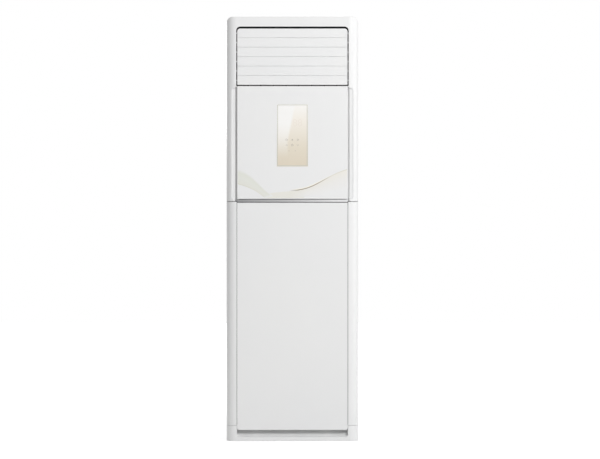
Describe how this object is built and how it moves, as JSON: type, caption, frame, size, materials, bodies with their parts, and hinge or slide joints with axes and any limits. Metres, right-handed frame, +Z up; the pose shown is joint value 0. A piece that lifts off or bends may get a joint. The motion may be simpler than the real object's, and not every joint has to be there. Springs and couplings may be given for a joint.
{
  "type": "floor standing air conditioner",
  "caption": "Tall white floor standing air conditioner with a louvred outlet at the top, a display panel below it and a plain lower panel over the blower.",
  "frame": {"origin": "middle of the footprint, on the floor under the feet", "axes": "+Z up, -Y the front with the display, +X the viewer's right"},
  "size_m": [0.56, 0.38, 1.8],
  "materials": {
    "case_white": "gloss white powder coat",
    "moulding_white": "polished white moulding",
    "trim_silver": "satin silver paint",
    "display_gold": "champagne mirror film behind clear plastic",
    "inner_grey": "matt grey moulding",
    "motor_black": "matt black moulding",
    "filter_black": "fine nylon mesh in a frame",
    "galvanised": "galvanised sheet",
    "fin_aluminium": "bare fins",
    "copper": "drawn copper tube",
    "union_brass": "machined brass",
    "heater_steel": "plain steel",
    "foam": "expanded polystyrene",
    "wheel_grey": "matt dark moulding",
    "board_green": "circuit board",
    "rubber_black": "moulded rubber"
  },
  "bodies": {
    "cabinet": {"auxiliary_heater": "heater_steel", "base": "moulding_white", "blower_housing": "inner_grey", "blower_inlet_ring": "inner_grey", "blower_stand": "galvanised", "cable_gland": "motor_black", "display_board": "board_green", "display_window": "display_gold", "drain_hose": "rubber_black", "drain_pan": "inner_grey", "duct_liner": "foam", "electrical_box": "galvanised", "electrical_box_cover": "galvanised", "evaporator_end_plates": "galvanised", "evaporator_fins": "fin_aluminium", "evaporator_tubes": "copper", "fan_motor": "heater_steel", "feet": "rubber_black", "left_lower_pillar": "moulding_white", "left_side_panel": "case_white", "louvre_motor": "motor_black", "main_board": "board_green", "middle_shelf": "galvanised", "motor_bracket": "galvanised", "outlet_frame": "inner_grey", "pipe_hole_seal": "rubber_black", "rear_panel": "case_white", "refrigerant_pipes": "copper", "right_lower_pillar": "moulding_white", "right_side_panel": "case_white", "service_unions": "union_brass", "terminal_block": "motor_black", "top_cover": "case_white", "upper_front_frame": "moulding_white", "upper_front_panel": "moulding_white", "vane_motor": "motor_black", "waist_trim": "trim_silver"},
    "blower": {"blower_wheel": "wheel_grey", "motor_shaft": "heater_steel"},
    "lower_front_panel": {"lower_front_panel": "moulding_white"},
    "filter_left": {"filter_left": "filter_black"},
    "filter_right": {"filter_right": "filter_black"},
    "louvre_tie_bar": {"louvre_tie_bar": "inner_grey"},
    "louvre_crank": {"louvre_crank": "inner_grey"},
    "vane_tie_bar": {"vane_tie_bar": "inner_grey"},
    "louvre_1": {"louvre_1": "moulding_white"},
    "louvre_2": {"louvre_2": "moulding_white"},
    "louvre_3": {"louvre_3": "moulding_white"},
    "louvre_4": {"louvre_4": "moulding_white"},
    "louvre_5": {"louvre_5": "moulding_white"},
    "louvre_6": {"louvre_6": "moulding_white"},
    "vane_1": {"vane_1": "inner_grey"},
    "vane_2": {"vane_2": "inner_grey"},
    "vane_3": {"vane_3": "inner_grey"},
    "vane_4": {"vane_4": "inner_grey"},
    "vane_5": {"vane_5": "inner_grey"},
    "vane_6": {"vane_6": "inner_grey"},
    "vane_7": {"vane_7": "inner_grey"},
    "vane_8": {"vane_8": "inner_grey"}
  },
  "joints": [
    {"name": "louvre_1_tilt", "type": "hinge", "parent": "cabinet", "child": "louvre_1", "pos_m": [0, -0.179, 1.73073], "axis": [-1, 0, 0], "range_deg": [0, 110]},
    {"name": "louvre_2_tilt", "type": "hinge", "parent": "cabinet", "child": "louvre_2", "pos_m": [0, -0.179, 1.6906], "axis": [-1, 0, 0], "range_deg": [0, 110]},
    {"name": "louvre_3_tilt", "type": "hinge", "parent": "cabinet", "child": "louvre_3", "pos_m": [0, -0.179, 1.65047], "axis": [-1, 0, 0], "range_deg": [0, 110]},
    {"name": "louvre_4_tilt", "type": "hinge", "parent": "cabinet", "child": "louvre_4", "pos_m": [0, -0.179, 1.61033], "axis": [-1, 0, 0], "range_deg": [0, 110]},
    {"name": "louvre_5_tilt", "type": "hinge", "parent": "cabinet", "child": "louvre_5", "pos_m": [0, -0.179, 1.5702], "axis": [-1, 0, 0], "range_deg": [0, 110]},
    {"name": "louvre_6_tilt", "type": "hinge", "parent": "cabinet", "child": "louvre_6", "pos_m": [0, -0.179, 1.53007], "axis": [-1, 0, 0], "range_deg": [0, 110]},
    {"name": "louvre_tie_bar_pivot", "type": "hinge", "parent": "louvre_1", "child": "louvre_tie_bar", "pos_m": [0.24525, -0.17097, 1.7422], "axis": [-1, 0, 0], "range_deg": [-110, 0]},
    {"name": "louvre_crank_turn", "type": "hinge", "parent": "cabinet", "child": "louvre_crank", "pos_m": [0.2485, -0.145, 1.6304], "axis": [-1, 0, 0], "range_deg": [0, 110]},
    {"name": "vane_1_swing", "type": "hinge", "parent": "cabinet", "child": "vane_1", "pos_m": [-0.189, -0.118, 1.633], "axis": [0, 0, 1], "range_deg": [-35, 35]},
    {"name": "vane_2_swing", "type": "hinge", "parent": "cabinet", "child": "vane_2", "pos_m": [-0.135, -0.118, 1.633], "axis": [0, 0, 1], "range_deg": [-35, 35]},
    {"name": "vane_3_swing", "type": "hinge", "parent": "cabinet", "child": "vane_3", "pos_m": [-0.081, -0.118, 1.633], "axis": [0, 0, 1], "range_deg": [-35, 35]},
    {"name": "vane_4_swing", "type": "hinge", "parent": "cabinet", "child": "vane_4", "pos_m": [-0.027, -0.118, 1.633], "axis": [0, 0, 1], "range_deg": [-35, 35]},
    {"name": "vane_5_swing", "type": "hinge", "parent": "cabinet", "child": "vane_5", "pos_m": [0.027, -0.118, 1.633], "axis": [0, 0, 1], "range_deg": [-35, 35]},
    {"name": "vane_6_swing", "type": "hinge", "parent": "cabinet", "child": "vane_6", "pos_m": [0.081, -0.118, 1.633], "axis": [0, 0, 1], "range_deg": [-35, 35]},
    {"name": "vane_7_swing", "type": "hinge", "parent": "cabinet", "child": "vane_7", "pos_m": [0.135, -0.118, 1.633], "axis": [0, 0, 1], "range_deg": [-35, 35]},
    {"name": "vane_8_swing", "type": "hinge", "parent": "cabinet", "child": "vane_8", "pos_m": [0.189, -0.118, 1.633], "axis": [0, 0, 1], "range_deg": [-35, 35]},
    {"name": "vane_tie_bar_pivot", "type": "hinge", "parent": "vane_1", "child": "vane_tie_bar", "pos_m": [-0.189, -0.098, 1.526], "axis": [0, 0, 1], "range_deg": [-35, 35]},
    {"name": "blower_spin", "type": "hinge", "parent": "cabinet", "child": "blower", "pos_m": [0.02, 0, 0.7], "axis": [0, 1, 0], "continuous": true},
    {"name": "lower_panel_pull", "type": "slide", "parent": "cabinet", "child": "lower_front_panel", "axis": [0, -1, 0], "range_m": [0, 0.3]},
    {"name": "filter_left_pull", "type": "slide", "parent": "cabinet", "child": "filter_left", "axis": [1, 0, 0], "range_m": [0, 0.045]},
    {"name": "filter_right_pull", "type": "slide", "parent": "cabinet", "child": "filter_right", "axis": [-1, 0, 0], "range_m": [0, 0.045]}
  ],
  "couplings": [
    {"joint": "louvre_2_tilt", "follows": "louvre_1_tilt", "ratio": 1},
    {"joint": "louvre_3_tilt", "follows": "louvre_1_tilt", "ratio": 1},
    {"joint": "louvre_4_tilt", "follows": "louvre_1_tilt", "ratio": 1},
    {"joint": "louvre_5_tilt", "follows": "louvre_1_tilt", "ratio": 1},
    {"joint": "louvre_6_tilt", "follows": "louvre_1_tilt", "ratio": 1},
    {"joint": "louvre_tie_bar_pivot", "follows": "louvre_1_tilt", "ratio": -1},
    {"joint": "louvre_crank_turn", "follows": "louvre_1_tilt", "ratio": 1},
    {"joint": "vane_2_swing", "follows": "vane_1_swing", "ratio": 1},
    {"joint": "vane_3_swing", "follows": "vane_1_swing", "ratio": 1},
    {"joint": "vane_4_swing", "follows": "vane_1_swing", "ratio": 1},
    {"joint": "vane_5_swing", "follows": "vane_1_swing", "ratio": 1},
    {"joint": "vane_6_swing", "follows": "vane_1_swing", "ratio": 1},
    {"joint": "vane_7_swing", "follows": "vane_1_swing", "ratio": 1},
    {"joint": "vane_8_swing", "follows": "vane_1_swing", "ratio": 1},
    {"joint": "vane_tie_bar_pivot", "follows": "vane_1_swing", "ratio": -1}
  ]
}
